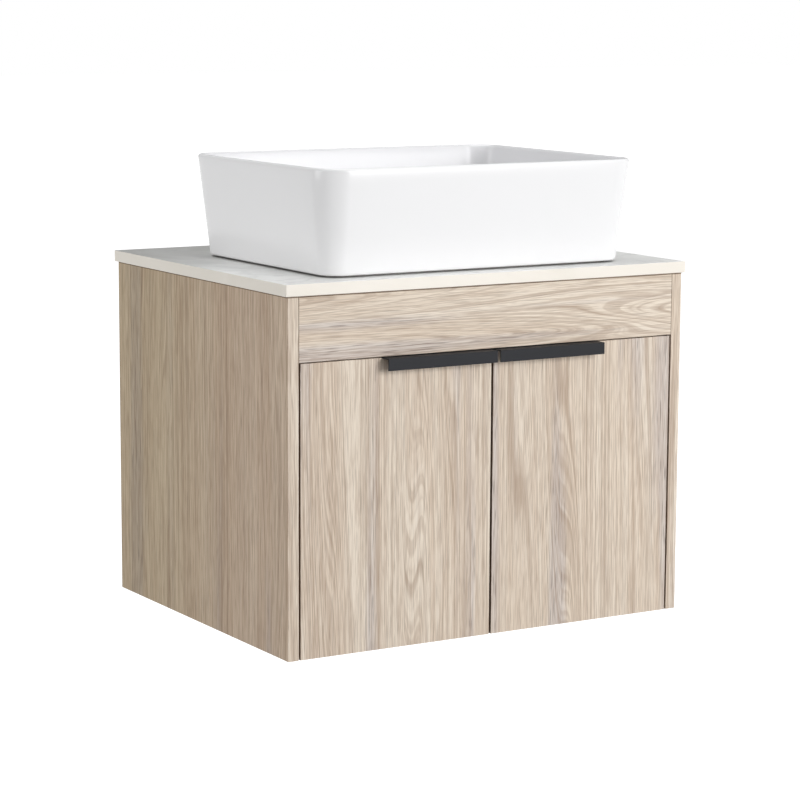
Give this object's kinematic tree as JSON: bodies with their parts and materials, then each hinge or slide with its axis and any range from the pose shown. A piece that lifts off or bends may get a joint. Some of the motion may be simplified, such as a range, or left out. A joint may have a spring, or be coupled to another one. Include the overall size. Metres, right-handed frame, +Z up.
{
  "type": "wall-hung vanity cabinet with vessel basin",
  "caption": "Wall-hung bathroom vanity cabinet: inset wood-grain doors with dark edge pulls under a front rail, pale stone top, white rectangular vessel basin with push-up waste.",
  "frame": {"origin": "bottom edge of the wall plane, on the centre line: the middle of the lower back rail's bottom back edge", "axes": "+Z up, +Y into the wall, doors face -Y, +X to the right of someone facing the doors"},
  "size_m": [0.6, 0.502, 0.605],
  "materials": {
    "oak_board": "matt greige oak-look laminate on board, fine pores along the grain",
    "stone_top": "honed pale grey-white veined stone with a cream edge",
    "basin_glaze": "glossy white glaze",
    "anthracite": "satin anthracite coating on folded aluminium",
    "bright_steel": "nickel-plated pressed steel",
    "zinc": "zinc-plated or die-cast, dull",
    "waste_chrome": "polished chrome on brass",
    "rubber": "matt black rubber",
    "beech": "fluted beech dowel, unfinished"
  },
  "bodies": {
    "cabinet": {"side_panel_left": "oak_board", "side_panel_right": "oak_board", "bottom_panel": "oak_board", "front_rail": "oak_board", "front_stretcher": "oak_board", "back_rail_upper": "oak_board", "back_rail_lower": "oak_board", "countertop": "stone_top", "basin": "basin_glaze", "cam_locks": "zinc", "cam_bolts": "bright_steel", "dowels": "beech", "waste_body": "waste_chrome", "waste_flange_seal": "rubber", "waste_washer": "rubber", "waste_nut": "zinc", "waste_tailpiece": "waste_chrome", "waste_tail_nut": "waste_chrome", "plate_screws_left": "bright_steel", "hinge_adjusters_left": "bright_steel", "hinge_arm_lower_left": "bright_steel", "hinge_plate_lower_left": "zinc", "hinge_pin_lower_left": "zinc", "hinge_arm_upper_left": "bright_steel", "hinge_plate_upper_left": "zinc", "hinge_pin_upper_left": "zinc", "plate_screws_right": "bright_steel", "hinge_adjusters_right": "bright_steel", "hinge_arm_lower_right": "bright_steel", "hinge_plate_lower_right": "zinc", "hinge_pin_lower_right": "zinc", "hinge_arm_upper_right": "bright_steel", "hinge_plate_upper_right": "zinc", "hinge_pin_upper_right": "zinc"},
    "left_door": {"door_left": "oak_board", "handle_left": "anthracite", "handle_screws_left": "bright_steel", "cup_screws_left": "bright_steel", "door_bumpers_left": "rubber", "hinge_cup_lower_left": "bright_steel", "hinge_cup_upper_left": "bright_steel"},
    "right_door": {"door_right": "oak_board", "handle_right": "anthracite", "handle_screws_right": "bright_steel", "cup_screws_right": "bright_steel", "door_bumpers_right": "rubber", "hinge_cup_lower_right": "bright_steel", "hinge_cup_upper_right": "bright_steel"},
    "stopper": {"waste_stopper": "waste_chrome"}
  },
  "joints": [
    {"name": "left_door_swing", "type": "hinge", "parent": "cabinet", "child": "left_door", "pos_m": [-0.2686, -0.4802, 0.184], "axis": [0, 0, -1], "range_deg": [0, 100]},
    {"name": "right_door_swing", "type": "hinge", "parent": "cabinet", "child": "right_door", "pos_m": [0.2686, -0.4802, 0.184], "axis": [0, 0, 1], "range_deg": [0, 100]},
    {"name": "stopper_lift", "type": "slide", "parent": "cabinet", "child": "stopper", "axis": [0, 0, 1], "range_m": [0, 0.009]}
  ]
}
